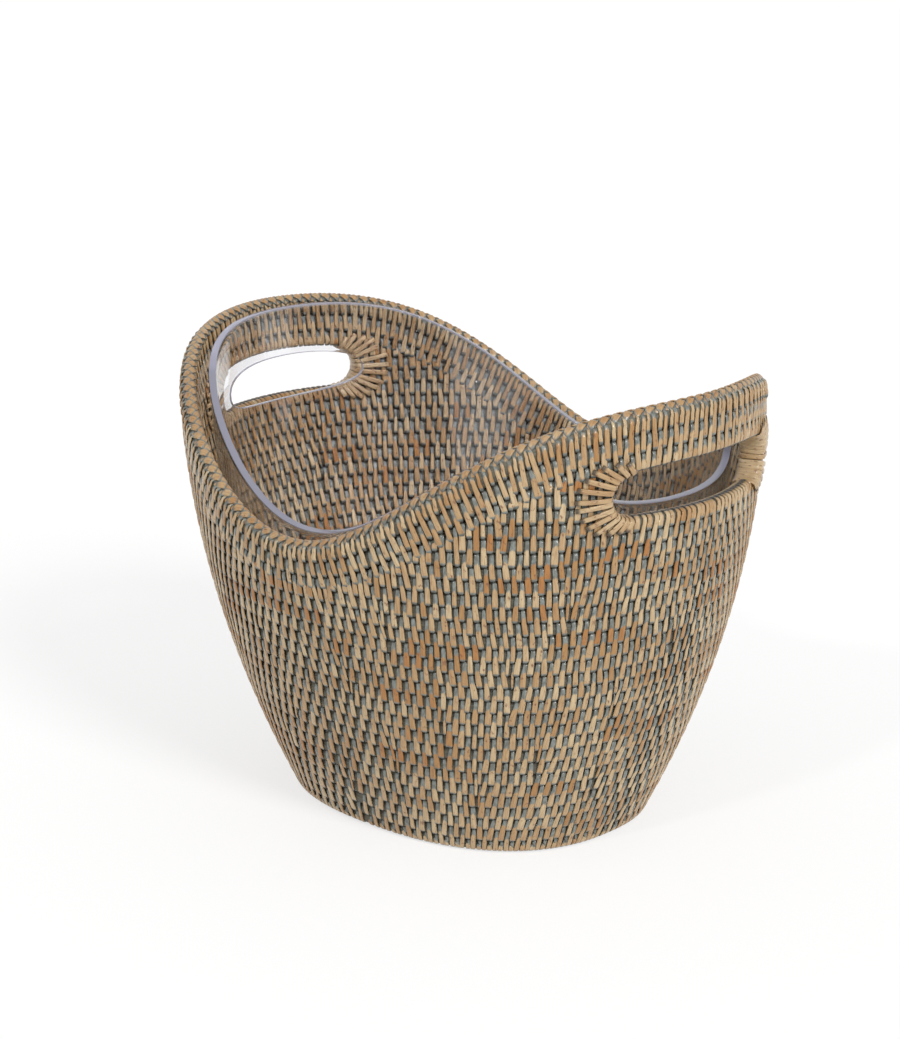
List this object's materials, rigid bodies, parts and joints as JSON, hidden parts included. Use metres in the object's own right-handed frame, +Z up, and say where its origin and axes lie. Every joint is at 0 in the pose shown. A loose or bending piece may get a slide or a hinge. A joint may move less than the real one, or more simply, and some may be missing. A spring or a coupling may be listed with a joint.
{
  "type": "champagne bucket",
  "caption": "Oval wicker champagne bucket with a saddle rim, hand holes in its high ends and a clear liner that lifts out.",
  "frame": {"origin": "middle of the base, on the surface the bucket stands on", "axes": "+Z up, +X through the hand holes in the high ends, +Y across the low sides of the rim"},
  "size_m": [0.3788, 0.3138, 0.2854],
  "materials": {
    "cane": "grey-washed cane, satin",
    "peel": "split rattan peel, rubbed grey wash, satin varnish",
    "acrylic": "clear, polished"
  },
  "bodies": {
    "basket": {"cane_hoop_01": "cane", "cane_hoop_02": "cane", "cane_hoop_03": "cane", "cane_hoop_04": "cane", "cane_hoop_05": "cane", "cane_hoop_06": "cane", "cane_hoop_07": "cane", "cane_hoop_08": "cane", "cane_hoop_09": "cane", "cane_hoop_10": "cane", "cane_hoop_11": "cane", "cane_hoop_12": "cane", "cane_hoop_13": "cane", "cane_hoop_14": "cane", "cane_hoop_15": "cane", "cane_hoop_16": "cane", "cane_hoop_17": "cane", "cane_hoop_18": "cane", "cane_hoop_19": "cane", "cane_hoop_20": "cane", "cane_hoop_21": "cane", "left_back_fan_lashing": "peel", "left_back_short_cane_27": "cane", "left_back_short_cane_28": "cane", "left_back_short_cane_29": "cane", "left_cane_arc_22": "cane", "left_cane_arc_23": "cane", "left_cane_arc_24": "cane", "left_cane_arc_25": "cane", "left_cane_arc_26": "cane", "left_front_fan_lashing": "peel", "left_front_short_cane_27": "cane", "left_front_short_cane_28": "cane", "left_front_short_cane_29": "cane", "left_grip_cane": "cane", "right_back_fan_lashing": "peel", "right_back_short_cane_27": "cane", "right_back_short_cane_28": "cane", "right_back_short_cane_29": "cane", "right_cane_arc_22": "cane", "right_cane_arc_23": "cane", "right_cane_arc_24": "cane", "right_cane_arc_25": "cane", "right_cane_arc_26": "cane", "right_front_fan_lashing": "peel", "right_front_short_cane_27": "cane", "right_front_short_cane_28": "cane", "right_front_short_cane_29": "cane", "right_grip_cane": "cane", "rim_cane_01": "cane", "rim_cane_02": "cane", "rim_plait": "peel", "woven_floor": "cane"},
    "liner": {"clear_liner": "acrylic"}
  },
  "joints": [
    {"name": "liner_lift", "type": "slide", "parent": "basket", "child": "liner", "axis": [0, 0, 1], "range_m": [0, 0.285]}
  ]
}
